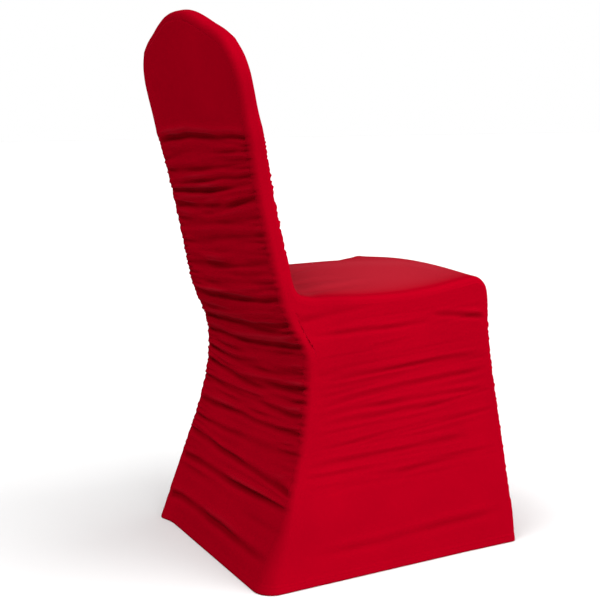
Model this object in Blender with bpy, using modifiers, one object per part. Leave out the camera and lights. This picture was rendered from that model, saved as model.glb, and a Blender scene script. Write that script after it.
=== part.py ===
"""A ruched stretch cover for a crown-backed banquet chair, hanging as it does on the chair.

Four panels are sewn edge to edge: the back, the long front strip, and one side panel on each side.
X is the width, the front of the seat faces -Y, and the hem hangs just above z = 0.
"""
import math
from collections import namedtuple

import bmesh
import bpy
import numpy as np

# Driving dimensions, in metres
HEM_Z = 0.001
CLOTH = 0.0018
SEAM_GAP = 0.0004
CROWN_GAP = 0.001
LEAN = math.radians(12.2)
LEAN_FROM_Z = 0.457
LEAN_FROM_Y = 0.1955
SHOULDER_X = 0.163
SHOULDER_Z = 0.858
EDGE_FLAT = 0.002
FRONT_RADIUS = 0.010
SIDE_DEPTH = 0.40
FOOT_Z = 0.515
CORNER_END_Z = 0.442
BOX_CENTRE_Y = 0.019
LEAN_STARTS = (0.44, 0.52)
SEAT_LEVEL = (0.470, 0.500)
FOOT_LENGTH = 0.032
CORNER_LENGTH = 0.020
WELD = 0.00001
CLOTH_RED = (0.238, 0.0, 0.0056, 1.0)
CLOTH_ROUGHNESS = 0.62

# The back seam below the shoulder: its half width, and how softly the corner beside it turns
BackEdge = namedtuple("BackEdge", "z half_width radius")
BACK_EDGE = (
    BackEdge(0.000, 0.194, 0.034),
    BackEdge(0.050, 0.202, 0.025),
    BackEdge(0.100, 0.209, 0.017),
    BackEdge(0.150, 0.209, 0.011),
    BackEdge(0.200, 0.203, 0.010),
    BackEdge(0.250, 0.198, 0.010),
    BackEdge(0.300, 0.194, 0.010),
    BackEdge(0.350, 0.194, 0.010),
    BackEdge(0.375, 0.195, 0.010),
    BackEdge(0.400, 0.193, 0.010),
    BackEdge(0.425, 0.187, 0.010),
    BackEdge(LEAN_FROM_Z, 0.184, 0.010),
    BackEdge(0.500, 0.181, 0.010),
    BackEdge(0.550, 0.178, 0.010),
    BackEdge(0.600, 0.177, 0.010),
    BackEdge(0.650, 0.178, 0.010),
    BackEdge(0.690, 0.182, 0.010),
    BackEdge(0.720, 0.187, 0.010),
    BackEdge(0.760, 0.188, 0.010),
    BackEdge(0.790, 0.190, 0.010),
    BackEdge(0.815, 0.189, 0.010),
    BackEdge(0.838, 0.180, 0.010),
    BackEdge(SHOULDER_Z, SHOULDER_X, 0.010),
)

# How deep the gusset is between the back seam and the front seam
Gusset = namedtuple("Gusset", "z depth")
GUSSET = (
    Gusset(0.450, 0.0310),
    Gusset(0.600, 0.0310),
    Gusset(0.700, 0.0315),
    Gusset(0.745, 0.0290),
    Gusset(0.860, 0.0280),
)

# The back panel seen from the side, up to where it follows the leaning back-rest
Profile = namedtuple("Profile", "z y")
BACK_PROFILE = (
    Profile(0.000, 0.253),
    Profile(0.050, 0.234),
    Profile(0.100, 0.214),
    Profile(0.150, 0.197),
    Profile(0.200, 0.181),
    Profile(0.250, 0.168),
    Profile(0.300, 0.160),
    Profile(0.350, 0.158),
    Profile(0.375, 0.161),
    Profile(0.400, 0.170),
    Profile(0.425, 0.183),
    Profile(LEAN_FROM_Z, LEAN_FROM_Y),
)

# The crown of the back seam, across its peak and down to the shoulder
CrownPoint = namedtuple("CrownPoint", "x z")
CROWN = (
    CrownPoint(-0.040, 0.9035),
    CrownPoint(0.000, 0.9072),
    CrownPoint(0.040, 0.9035),
    CrownPoint(0.074, 0.894),
    CrownPoint(0.106, 0.882),
    CrownPoint(0.140, 0.8695),
    CrownPoint(SHOULDER_X, SHOULDER_Z),
)

# The front panel's edge seen from the side: from the foot of the back-rest over the seat
SEAT_LINE = (
    Profile(0.4930, 0.1690),
    Profile(0.4820, 0.1630),
    Profile(0.4745, 0.1540),
    Profile(0.4705, 0.1400),
    Profile(0.4675, 0.1000),
    Profile(0.4640, 0.0400),
    Profile(0.4645, -0.0400),
    Profile(0.4700, -0.1100),
    Profile(0.4755, -0.1500),
    Profile(0.4775, -0.1750),
    Profile(0.4640, -0.1905),
)

# The front panel's edge seen from the side: from the seat's front corner to the hem
SKIRT_LINE = (
    Profile(CORNER_END_Z, -0.1965),
    Profile(0.415, -0.1975),
    Profile(0.385, -0.1990),
    Profile(0.345, -0.2035),
    Profile(0.305, -0.2095),
    Profile(0.260, -0.2170),
    Profile(0.210, -0.2255),
    Profile(0.160, -0.2340),
    Profile(0.110, -0.2420),
    Profile(0.055, -0.2520),
    Profile(0.000, -0.2570),
)

# The side's outermost half width at the front corner
FrontCorner = namedtuple("FrontCorner", "z half_width")
FRONT_CORNER = (FrontCorner(0.0, 0.2195), FrontCorner(0.25, 0.211), FrontCorner(0.47, 0.2045))

# How far the middle of a panel stands out past its edges: by height, or by depth on the seat
Bulge = namedtuple("Bulge", "at out")
BACK_BULGE = (
    Bulge(0.00, 0.000),
    Bulge(0.30, 0.001),
    Bulge(0.45, 0.002),
    Bulge(0.70, 0.005),
    Bulge(0.80, 0.006),
    Bulge(SHOULDER_Z, 0.000),
)
INNER_BULGE = (
    Bulge(FOOT_Z, 0.014),
    Bulge(0.60, 0.012),
    Bulge(0.78, 0.011),
    Bulge(SHOULDER_Z, 0.000),
)
SEAT_BULGE = (
    Bulge(-0.195, 0.007),
    Bulge(-0.180, 0.008),
    Bulge(-0.120, 0.0195),
    Bulge(-0.020, 0.0285),
    Bulge(0.080, 0.0235),
    Bulge(0.140, 0.011),
    Bulge(0.177, 0.011),
)
SKIRT_BULGE = (Bulge(0.000, 0.000), Bulge(0.250, 0.002), Bulge(0.360, 0.006), Bulge(CORNER_END_Z, 0.007))

# Main folds across a panel, top to bottom: where the crease lies at +X, in the middle and at -X,
# how deep and how wide it is, and how much of it is left at either edge
Fold = namedtuple("Fold", "right middle left depth width at_right at_left")
BACK_FOLDS = (
    Fold(0.711, 0.721, 0.719, 0.0060, 0.0055, 0.6, 0.5),
    Fold(0.657, 0.668, 0.683, 0.0025, 0.0060, 1.0, 0.3),
    Fold(0.634, 0.649, 0.664, 0.0040, 0.0045, 1.0, 0.9),
    Fold(0.619, 0.634, 0.652, 0.0044, 0.0048, 1.0, 0.6),
    Fold(0.599, 0.605, 0.629, 0.0045, 0.0060, 0.5, 0.8),
    Fold(0.567, 0.580, 0.596, 0.0025, 0.0070, 0.7, 0.8),
    Fold(0.535, 0.553, 0.567, 0.0025, 0.0080, 0.4, 1.0),
    Fold(0.486, 0.502, 0.525, 0.0030, 0.0080, 0.8, 0.8),
    Fold(0.455, 0.472, 0.494, 0.0025, 0.0060, 0.3, 1.0),
    Fold(0.437, 0.446, 0.468, 0.0050, 0.0060, 1.0, 0.6),
    Fold(0.388, 0.402, 0.429, 0.0062, 0.0060, 1.0, 0.8),
    Fold(0.359, 0.366, 0.392, 0.0052, 0.0060, 0.8, 1.0),
    Fold(0.326, 0.326, 0.347, 0.0042, 0.0055, 1.0, 0.8),
    Fold(0.300, 0.298, 0.319, 0.0060, 0.0052, 1.0, 0.9),
    Fold(0.265, 0.264, 0.276, 0.0046, 0.0055, 0.5, 1.0),
    Fold(0.225, 0.231, 0.248, 0.0046, 0.0055, 0.8, 0.9),
    Fold(0.191, 0.198, 0.212, 0.0028, 0.0060, 1.0, 0.5),
    Fold(0.164, 0.160, 0.153, 0.0056, 0.0058, 0.8, 0.9),
    Fold(0.115, 0.122, 0.133, 0.0046, 0.0060, 0.9, 0.35),
    Fold(0.046, 0.048, 0.048, 0.0055, 0.0070, 1.0, 0.4),
)
INNER_FOLDS = (
    Fold(0.718, 0.726, 0.720, 0.0055, 0.0055, 0.5, 0.7),
    Fold(0.677, 0.688, 0.693, 0.0030, 0.0060, 0.8, 0.9),
    Fold(0.654, 0.664, 0.673, 0.0048, 0.0050, 0.9, 0.7),
    Fold(0.635, 0.646, 0.652, 0.0044, 0.0050, 0.7, 1.0),
    Fold(0.612, 0.618, 0.628, 0.0036, 0.0060, 1.0, 0.6),
    Fold(0.578, 0.588, 0.595, 0.0042, 0.0060, 0.6, 0.9),
    Fold(0.552, 0.556, 0.566, 0.0034, 0.0065, 0.9, 0.8),
)
SKIRT_FOLDS = (
    Fold(0.412, 0.406, 0.410, 0.0034, 0.0060, 0.9, 0.8),
    Fold(0.389, 0.380, 0.384, 0.0048, 0.0055, 0.8, 1.0),
    Fold(0.362, 0.352, 0.359, 0.0050, 0.0055, 1.0, 0.8),
    Fold(0.336, 0.326, 0.337, 0.0042, 0.0055, 0.7, 0.9),
    Fold(0.309, 0.298, 0.310, 0.0052, 0.0055, 1.0, 0.9),
    Fold(0.278, 0.266, 0.275, 0.0040, 0.0060, 0.9, 0.6),
    Fold(0.240, 0.228, 0.238, 0.0046, 0.0060, 0.7, 1.0),
    Fold(0.196, 0.187, 0.198, 0.0030, 0.0070, 0.9, 0.8),
    Fold(0.150, 0.141, 0.152, 0.0044, 0.0060, 0.8, 0.9),
    Fold(0.106, 0.100, 0.107, 0.0030, 0.0070, 0.7, 0.6),
)

# Soft folds that run back over a side from its front seam
SideFold = namedtuple("SideFold", "back_y back_z front_y front_z depth width")
LEFT_FOLDS = (
    SideFold(0.130, 0.405, -0.085, 0.414, 0.0018, 0.006),
    SideFold(-0.080, 0.425, -0.200, 0.409, 0.0042, 0.006),
    SideFold(0.110, 0.338, -0.175, 0.350, 0.0020, 0.006),
    SideFold(0.130, 0.296, -0.185, 0.322, 0.0026, 0.006),
    SideFold(0.060, 0.282, -0.185, 0.288, 0.0022, 0.006),
    SideFold(0.145, 0.261, -0.110, 0.274, 0.0022, 0.007),
    SideFold(0.155, 0.197, -0.150, 0.208, 0.0022, 0.007),
    SideFold(0.030, 0.160, -0.200, 0.181, 0.0014, 0.008),
    SideFold(0.150, 0.050, -0.215, 0.062, 0.0020, 0.010),
)
RIGHT_FOLDS = (
    SideFold(0.110, 0.412, -0.120, 0.420, 0.0020, 0.006),
    SideFold(0.130, 0.364, -0.175, 0.378, 0.0022, 0.006),
    SideFold(0.090, 0.330, -0.185, 0.346, 0.0024, 0.006),
    SideFold(0.140, 0.288, -0.160, 0.306, 0.0022, 0.006),
    SideFold(0.070, 0.252, -0.190, 0.266, 0.0020, 0.007),
    SideFold(0.160, 0.205, -0.180, 0.222, 0.0022, 0.007),
    SideFold(0.040, 0.148, -0.200, 0.164, 0.0016, 0.008),
    SideFold(0.160, 0.058, -0.180, 0.070, 0.0018, 0.010),
)

# The hem's far corner, at +X behind, is kicked back: how far, up to what height, and over what width
CORNER_TIP = 0.009
CORNER_TIP_Z = 0.160
CORNER_TIP_WIDTH = 0.020
HALF_WIDTH = 0.19

# How much lower the seat's front edge lies towards +X, in metres a metre, and from where it starts to
SEAT_TILT = 0.0175
TILT_FROM_Y = (-0.02, -0.15)
TILT_FROM_Z = (0.37, 0.46)

# Where the grid's lines run: shares of a half width, heights, and shares of the seat's length
HALF_COLUMNS = (0.0, 0.25, 0.5, 0.72, 0.88, 0.965, 1.0)
HEAD_ROWS = (SHOULDER_Z, 0.849, 0.838, 0.826, 0.813, 0.798, 0.780, 0.760, 0.742)
GUSSET_ROWS = (0.722, 0.704, 0.686, 0.667, 0.648, 0.628, 0.608, 0.588, 0.568, 0.549, 0.531, FOOT_Z)
FOOT_ROWS = (0.507, 0.498)
FOOT_STEP = 0.010
CORNER_STEP = 0.009
SEAT_SHARES = (0.0, 0.04, 0.11, 0.23, 0.38, 0.54, 0.70, 0.84, 0.94, 1.0)
SIDE_TOP_ROWS = (0.498, 0.478, 0.460)
SIDE_FINE_STEP = 0.0135
SIDE_FINE_TO = 0.155
SIDE_COARSE_STEP = 0.022
CREASE_ROWS = (1.7, 0.65, -0.25, -1.6)
SOFT_ROWS = (1.5, 0.0, -1.5)
SOFT_DEPTH = 0.0033
CLOSEST_ROWS = 0.0045
WIDEST_ROWS = 0.021
ARCH_FROM = 0.70
EDGE_FADE = (0.86, 0.96)
FOLD_REACH = 0.035
DOME_POWER = 1.4
RIM_TURNS = (0.70, 0.80)
SIDE_FOLD_STARTS = (-0.08, 0.25)
SIDE_FOLD_ENDS = (0.85, 1.05)

# A fold's ridges over and below its crease, as shares of its depth and of its width
Ridge = namedtuple("Ridge", "height place width")
RIDGE_OVER = Ridge(0.45, 1.9, 1.1)
RIDGE_UNDER = Ridge(0.22, -2.1, 1.3)


class Curve:
    """A smooth line through a table's points, read by the value in one of its columns."""

    def __init__(self, at, value):
        order = np.argsort(at)
        self.at = np.array(at, float)[order]
        self.value = np.array(value, float)[order]
        step = np.diff(self.at)
        slope = np.diff(self.value) / step
        middle = (slope[:-1] * step[1:] + slope[1:] * step[:-1]) / (step[:-1] + step[1:])
        self.tangent = np.concatenate([slope[:1], middle, slope[-1:]])

    def __call__(self, where):
        where = min(max(where, self.at[0]), self.at[-1])
        i = min(max(int(np.searchsorted(self.at, where)) - 1, 0), len(self.at) - 2)
        span = self.at[i + 1] - self.at[i]
        rise = self.value[i + 1] - self.value[i]
        t = (where - self.at[i]) / span
        start = self.tangent[i] * span - rise
        end = rise - self.tangent[i + 1] * span
        return float(self.value[i] + t * rise + t * (1 - t) * ((1 - t) * start + t * end))


def curve(table, by, value):
    """A smooth line through two columns of a table."""
    return Curve([getattr(row, by) for row in table], [getattr(row, value) for row in table])


def ease(low, high, value):
    """0 at low, 1 at high, and a smooth step between."""
    share = min(max((value - low) / (high - low), 0.0), 1.0)
    return share * share * (3 - 2 * share)


back_half_width = curve(BACK_EDGE, "z", "half_width")
corner_radius = curve(BACK_EDGE, "z", "radius")
lower_back_y = curve(BACK_PROFILE, "z", "y")
crown_z = curve(CROWN, "x", "z")
skirt_y = curve(SKIRT_LINE, "z", "y")
gusset_depth = curve(GUSSET, "z", "depth")
front_corner = curve(FRONT_CORNER, "z", "half_width")
back_bulge = curve(BACK_BULGE, "at", "out")
inner_bulge = curve(INNER_BULGE, "at", "out")
seat_bulge = curve(SEAT_BULGE, "at", "out")
skirt_bulge = curve(SKIRT_BULGE, "at", "out")


def back_y(z):
    """The back seam's place in depth."""
    if z >= LEAN_FROM_Z:
        return LEAN_FROM_Y + math.tan(LEAN) * (z - LEAN_FROM_Z)
    return lower_back_y(z)


def forward(z):
    """The direction in Y and Z straight through the cover from its back to its front."""
    angle = LEAN * ease(*LEAN_STARTS, z)
    return np.array([-math.cos(angle), math.sin(angle)])


def back_point(z):
    return np.array([back_y(z), z])


def inner_point(z):
    """The front seam's point on the back-rest, opposite the back seam's at z."""
    return back_point(z) + gusset_depth(z) * forward(z)


def side_half_width(y, z):
    """The side's outermost half width, from the back corner to the front corner."""
    back = back_half_width(z) + EDGE_FLAT + corner_radius(z)
    share = min(max((back_y(z) - y) / SIDE_DEPTH, 0.0), 1.0)
    share *= 1.0 - ease(*SEAT_LEVEL, z)
    return back + share * (front_corner(z) - back)


# The line from the foot of the back-rest over the seat, by its length of cloth
LEAD_IN = [tuple(inner_point(FOOT_Z + 0.02)), tuple(inner_point(FOOT_Z))]
LEAD_OUT = [(point.y, point.z) for point in SKIRT_LINE[:3]]
SEAT_PATH = LEAD_IN + [(point.y, point.z) for point in SEAT_LINE] + LEAD_OUT
SEAT_RUN = np.concatenate([[0.0], np.cumsum(np.linalg.norm(np.diff(np.array(SEAT_PATH), axis=0), axis=1))])
seat_path_y = Curve(SEAT_RUN, [point[0] for point in SEAT_PATH])
seat_path_z = Curve(SEAT_RUN, [point[1] for point in SEAT_PATH])
FOOT_RUN = SEAT_RUN[1]
JOIN_RUN = FOOT_RUN + FOOT_LENGTH
CORNER_END_RUN = SEAT_RUN[-3]
CORNER_RUN = CORNER_END_RUN - CORNER_LENGTH


def seat_point(run):
    return np.array([seat_path_y(run), seat_path_z(run)])


def seat_normal(run):
    """The way out of the cover at a point of the seat's line, in Y and Z."""
    ahead = seat_point(run + 0.001) - seat_point(run - 0.001)
    normal = np.array([ahead[1], -ahead[0]])
    return normal / np.linalg.norm(normal)


def crease(distance, width):
    """A trough with a full ridge over it and a softer one below, as a share of its depth."""
    t = distance / width
    out = -math.exp(-t * t)
    for ridge in (RIDGE_OVER, RIDGE_UNDER):
        out += ridge.height * math.exp(-(((t - ridge.place) / ridge.width) ** 2))
    return out


class Ruching:
    """The folds of one stretch of a panel, and the rows that lie along them."""

    def __init__(self, folds, top, bottom):
        self.folds = folds
        self.top = top
        self.bottom = bottom
        rows = folds[::-1]
        level = [bottom, rows[0].middle - FOLD_REACH, rows[-1].middle + FOLD_REACH, top]
        level = [level[0], max(level[1], bottom + 0.001), min(level[2], top - 0.001), level[3]]
        middle = [row.middle for row in rows]
        slope = [(row.right - row.left) / 2 for row in rows]
        sag = [(row.right + row.left) / 2 - row.middle for row in rows]
        self.at = level[:2] + middle + level[2:]
        self.slope = [0.0, 0.0] + slope + [0.0, 0.0]
        self.sag = [0.0, 0.0] + sag + [0.0, 0.0]

    def height(self, row, across):
        """A row's height at a place across the panel, from -1 at the left to 1 at the right."""
        slope = np.interp(row, self.at, self.slope)
        sag = np.interp(row, self.at, self.sag)
        return min(max(row + slope * across + sag * across * across, self.bottom), self.top)

    def out(self, row, across):
        """How far the cloth stands out of the panel's plain surface."""
        total = 0.0
        for fold in self.folds:
            distance = row - fold.middle
            if abs(distance) < 5 * fold.width:
                edge_share = fold.at_right if across > 0 else fold.at_left
                strength = 1 + (edge_share - 1) * abs(across) ** 1.5
                total += fold.depth * strength * crease(distance, fold.width)
        return total * (1.0 - ease(*EDGE_FADE, abs(across)))

    def rows(self):
        """Heights from top to bottom, on every ridge and crease, with others between them."""
        wanted = []
        for fold in self.folds:
            offsets = CREASE_ROWS if fold.depth > SOFT_DEPTH else SOFT_ROWS
            wanted += [fold.middle + offset * fold.width for offset in offsets]
        kept = [self.top]
        for row in sorted(wanted, reverse=True):
            if kept[-1] - row >= CLOSEST_ROWS and row - self.bottom >= CLOSEST_ROWS:
                kept.append(row)
        rows = [self.top]
        for row in kept[1:] + [self.bottom]:
            first = rows[-1]
            parts = math.ceil((first - row) / WIDEST_ROWS)
            rows += [first + (row - first) * (i + 1) / parts for i in range(parts)]
        return rows


BACK = Ruching(BACK_FOLDS, HEAD_ROWS[-1], HEM_Z)
INNER = Ruching(INNER_FOLDS, HEAD_ROWS[-1], FOOT_Z)
SKIRT = Ruching(SKIRT_FOLDS, CORNER_END_Z, HEM_Z)
COLUMNS = [-share for share in HALF_COLUMNS[:0:-1]] + list(HALF_COLUMNS)


def dome(across):
    """A panel's padded form across its width: 1 in the middle, level at the edges."""
    return (1 - across * across) ** DOME_POWER


def arch(z, across):
    """How far a row of the head rises towards the crown."""
    rise = crown_z(abs(across) * SHOULDER_X) - SHOULDER_Z
    return rise * ease(ARCH_FROM, SHOULDER_Z, z)


def head_line(z, point, out, outward):
    """A row of the head, arched towards the crown: point is its place in Y and Z at a height."""
    line = []
    for across in COLUMNS:
        up = z + arch(z, across)
        y, height = point(up) + out * dome(across) * outward
        trim = SEAM_GAP / 2 if z == SHOULDER_Z else 0.0
        line.append((across * (back_half_width(z) - SEAM_GAP / 2), y, height - trim))
    return line


def corner_kick(z, gone):
    """The share of the hem corner's kick at a height and a distance from its seam."""
    low = min(max(1 - z / CORNER_TIP_Z, 0.0), 1.0)
    return low ** 1.5 * math.exp(-((gone / CORNER_TIP_WIDTH) ** 2))


def tilted(point):
    """Lowers the seat's front edge towards +X and raises it towards -X."""
    x, y, z = point
    return x, y, z - SEAT_TILT * x * ease(*TILT_FROM_Y, y) * ease(*TILT_FROM_Z, z)


def back_lines():
    """The back panel's rows, from the crown to the hem."""
    lines = [head_line(z, back_point, back_bulge(z), -forward(z)) for z in HEAD_ROWS]
    for row in BACK.rows()[1:]:
        line = []
        for across in COLUMNS:
            z = BACK.height(row, across)
            z += arch(z, across)
            out = back_bulge(row) * dome(across) + BACK.out(row, across)
            y, up = back_point(z) - out * forward(z)
            y += CORNER_TIP * corner_kick(up, (1 - across) * HALF_WIDTH)
            line.append((across * (back_half_width(z) - SEAM_GAP / 2), y, max(up, HEM_Z)))
        lines.append(line)
    return lines


def front_lines():
    """The front panel's rows: down the back-rest, over the seat and down to the hem."""
    lines = [head_line(z, inner_point, inner_bulge(z), forward(z)) for z in HEAD_ROWS]
    for row in INNER.rows()[1:]:
        line = []
        for across in COLUMNS:
            z = INNER.height(row, across)
            out = inner_bulge(row) * dome(across) + INNER.out(row, across)
            y, up = inner_point(z) + out * forward(z)
            line.append((across * (back_half_width(z) - SEAM_GAP / 2), y, up))
        lines.append(line)
    for run in foot_runs() + seat_runs() + corner_runs():
        line = []
        for across in COLUMNS:
            edge_y, edge_z = seat_point(run)
            half = side_half_width(edge_y, edge_z) - FRONT_RADIUS - EDGE_FLAT - SEAM_GAP / 2
            y, z = seat_point(run) + seat_bulge(edge_y) * dome(across) * seat_normal(run)
            line.append((across * half, y, z))
        lines.append(line)
    for row in SKIRT.rows()[1:]:
        line = []
        for across in COLUMNS:
            z = SKIRT.height(row, across)
            half = side_half_width(skirt_y(z), z) - FRONT_RADIUS - EDGE_FLAT - SEAM_GAP / 2
            out = skirt_bulge(row) * dome(across) + SKIRT.out(row, across)
            line.append((across * half, skirt_y(z) - out, z))
        lines.append(line)
    return lines


def foot_runs():
    return [FOOT_RUN + FOOT_STEP]


def seat_runs():
    return [JOIN_RUN + share * (CORNER_RUN - JOIN_RUN) for share in SEAT_SHARES]


def corner_runs():
    return [CORNER_RUN + CORNER_STEP, CORNER_END_RUN]


def quarter(radius):
    """The turn of a soft edge: how far out of the flat cloth and how far down it has come."""
    turn = math.radians(45)
    return ((0.0, 0.0), (radius * math.sin(turn), radius * (1 - math.cos(turn))), (radius, radius))


def gusset_rim():
    """The seam round the head and down the back-rest, with the way out of it at each point."""
    crown = [(share * SHOULDER_X, crown_z(share * SHOULDER_X)) for share in HALF_COLUMNS]
    rows = HEAD_ROWS[1:] + GUSSET_ROWS + FOOT_ROWS
    points = np.array(crown + [(back_half_width(z), z) for z in rows])
    points[0, 0] = CROWN_GAP / 2
    normals = []
    for i in range(len(points)):
        ahead = points[min(i + 1, len(points) - 1)] - points[max(i - 1, 0)]
        normal = np.array([-ahead[1], ahead[0]]) / np.linalg.norm(ahead)
        if i == 0:
            normal = np.array([0.0, 1.0])
        straight = 1 - ease(*RIM_TURNS, points[i, 1])
        normal = normal * (1 - straight) + np.array([1.0, 0.0]) * straight
        normals.append(normal / np.linalg.norm(normal))
    return points, normals


def rim_line(seam, normal, z):
    """The gusset's section at one point of the rim, from the back seam to the front seam."""
    sections = [(SEAM_GAP / 2, 0.0)]
    sections += [(EDGE_FLAT + out, down) for out, down in quarter(corner_radius(z))]
    sections += [(EDGE_FLAT + out, gusset_depth(z) - down) for out, down in quarter(FRONT_RADIUS)[::-1]]
    sections += [(SEAM_GAP / 2, gusset_depth(z))]
    line = []
    for out, depth in sections:
        x, up = seam + out * normal
        y, z_here = np.array([back_y(up), up]) + depth * forward(z)
        line.append((x, y, z_here))
    return line


def back_strip(z, tip):
    """The skirt's corner beside the back seam, from the seam to the side; tip is how far its hem is kicked back."""
    line = [(back_half_width(z) + SEAM_GAP / 2, back_y(z) + tip * corner_kick(z, 0.0), z)]
    for out, down in quarter(corner_radius(z)):
        y, up = back_point(z) + down * forward(z)
        y += tip * corner_kick(z, EDGE_FLAT + out)
        line.append((back_half_width(z) + EDGE_FLAT + out, y, up))
    return line


def front_strip(point, outward):
    """The corner beside the front panel, from the side to the front seam."""
    half = side_half_width(*point)
    line = []
    for out, down in quarter(FRONT_RADIUS)[::-1]:
        y, z = point - down * outward
        line.append((half - FRONT_RADIUS + out, y, z))
    y, z = point
    line.append((half - FRONT_RADIUS - EDGE_FLAT + SEAM_GAP / 2, y, z))
    return line


def side_rows():
    """Heights of the side panel's rows at its back corner, below the seat."""
    rows = list(SIDE_TOP_ROWS)
    while rows[-1] - SIDE_FINE_STEP > SIDE_FINE_TO:
        rows.append(rows[-1] - SIDE_FINE_STEP)
    parts = math.ceil((rows[-1] - HEM_Z) / SIDE_COARSE_STEP)
    first = rows[-1]
    return rows + [first + (HEM_Z - first) * (i + 1) / parts for i in range(parts)]


def front_edge(rows):
    """The side's strips along the front corner, one for each of its rows."""
    strips = [front_strip(seat_point(run), seat_normal(run)) for run in [CORNER_RUN] + corner_runs()]
    for z in rows[3:]:
        level = CORNER_END_Z + (z - rows[2]) * (CORNER_END_Z - HEM_Z) / (rows[2] - HEM_Z)
        strips.append(front_strip(np.array([skirt_y(level), level]), np.array([-1.0, 0.0])))
    return strips


def side_out(folds, y, z, share_back, share_down):
    """How far a side's cloth stands out at a point, from its soft folds."""
    total = 0.0
    for fold in folds:
        share = (fold.back_y - y) / (fold.back_y - fold.front_y)
        fade = ease(*SIDE_FOLD_STARTS, share) * (1 - ease(*SIDE_FOLD_ENDS, share))
        line_z = fold.back_z + share * (fold.front_z - fold.back_z)
        if fade > 0 and abs(z - line_z) < 5 * fold.width:
            total += fold.depth * fade * crease(z - line_z, fold.width)
    edges = ease(0.0, 0.10, share_back) * (1 - ease(0.93, 1.0, share_back)) * ease(0.0, 0.08, share_down)
    return total * edges


def side_lofts(folds, tip):
    """The three stretches of a side panel: its gusset, its skirt and its edge along the seat."""
    points, normals = gusset_rim()
    gusset = [rim_line(point, normal, point[1]) for point, normal in zip(points, normals)]
    foot = front_strip(seat_point(foot_runs()[0]), seat_normal(foot_runs()[0]))
    gusset[-2] = gusset[-2][:4] + foot
    seat = [front_strip(seat_point(run), seat_normal(run)) for run in seat_runs()]
    gusset[-1] = gusset[-1][:4] + seat[0]
    rows = side_rows()
    back = [gusset[-1][:4]] + [back_strip(z, tip) for z in rows[1:]]
    front = front_edge(rows)
    top = [back[0][-1]] + [strip[0] for strip in seat]
    count = len(top) - 1
    first, last = np.array(top[0]), np.array(top[-1])
    hem_back, hem_front = np.array(back[-1][-1]), np.array(front[-1][0])
    skirt = []
    for k, z in enumerate(rows):
        down = (rows[0] - z) / (rows[0] - HEM_Z)
        left, right = np.array(back[k][-1]), np.array(front[k][0])
        middle = []
        for j in range(1, count):
            share = float((top[j][1] - first[1]) / (last[1] - first[1]))
            hem = hem_back + share * (hem_front - hem_back)
            across = left + share * (right - left)
            upright = np.array(top[j]) * (1 - down) + hem * down
            corners = (first * (1 - share) + last * share) * (1 - down) + hem * down
            x, y, up = across + upright - corners
            x = side_half_width(y, up) + side_out(folds, y, up, share, down)
            middle.append(tuple(top[j]) if k == 0 else (x, y, max(up, HEM_Z)))
        skirt.append(back[k] + middle + front[k])
    return gusset, skirt, seat


def loft(mesh, lines):
    """Joins lines of points into a surface, one row of faces between each two lines."""
    rows = [[mesh.verts.new(tilted(point)) for point in line] for line in lines]
    for upper, lower in zip(rows, rows[1:]):
        for i in range(len(upper) - 1):
            mesh.faces.new((upper[i], upper[i + 1], lower[i + 1], lower[i]))


def panel(name, lofts, outside, collection):
    """A sewn panel: its outer surface from lofts, thickened inwards to the cloth's thickness."""
    mesh = bmesh.new()
    for lines in lofts:
        loft(mesh, lines)
    bmesh.ops.remove_doubles(mesh, verts=mesh.verts, dist=WELD)
    bmesh.ops.recalc_face_normals(mesh, faces=mesh.faces)
    mesh.faces.ensure_lookup_table()
    first = mesh.faces[len(mesh.faces) // 2]
    if first.normal.dot(outside) < 0:
        bmesh.ops.reverse_faces(mesh, faces=mesh.faces)
    data = bpy.data.meshes.new(name)
    mesh.to_mesh(data)
    mesh.free()
    data.shade_smooth()
    piece = bpy.data.objects.new(name, data)
    piece.location.y = -BOX_CENTRE_Y
    collection.objects.link(piece)
    solid = piece.modifiers.new("cloth", "SOLIDIFY")
    solid.thickness = CLOTH
    solid.offset = -1.0
    data.materials.append(cloth(name))
    return piece


def cloth(name):
    """The matt red stretch knit that every panel is cut from."""
    material = bpy.data.materials.new(name + "_knit")
    material.use_nodes = True
    shader = material.node_tree.nodes["Principled BSDF"]
    shader.inputs["Base Color"].default_value = CLOTH_RED
    shader.inputs["Roughness"].default_value = CLOTH_ROUGHNESS
    shader.inputs["Metallic"].default_value = 0.0
    return material


def mirrored(lofts, side):
    return [[[(side * x, y, z) for x, y, z in line] for line in lines] for lines in lofts]


def main():
    for old in list(bpy.data.objects):
        bpy.data.objects.remove(old)
    cover = bpy.data.collections.new("ruched_chair_cover")
    bpy.context.scene.collection.children.link(cover)
    panel("back_panel", [back_lines()], (0, 1, 0), cover)
    panel("front_panel", [front_lines()], (0, 0, 1), cover)
    panel("side_panel_right", mirrored(side_lofts(RIGHT_FOLDS, CORNER_TIP), 1), (1, 0, 0), cover)
    panel("side_panel_left", mirrored(side_lofts(LEFT_FOLDS, 0.0), -1), (-1, 0, 0), cover)


main()
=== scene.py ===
"""The look of a ruched stretch chair cover: its panels again as fine knitted cloth, in a plain studio."""

import math
from collections import namedtuple

import bmesh
import bpy
import numpy as np
from mathutils import Matrix, Quaternion, Vector


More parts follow.
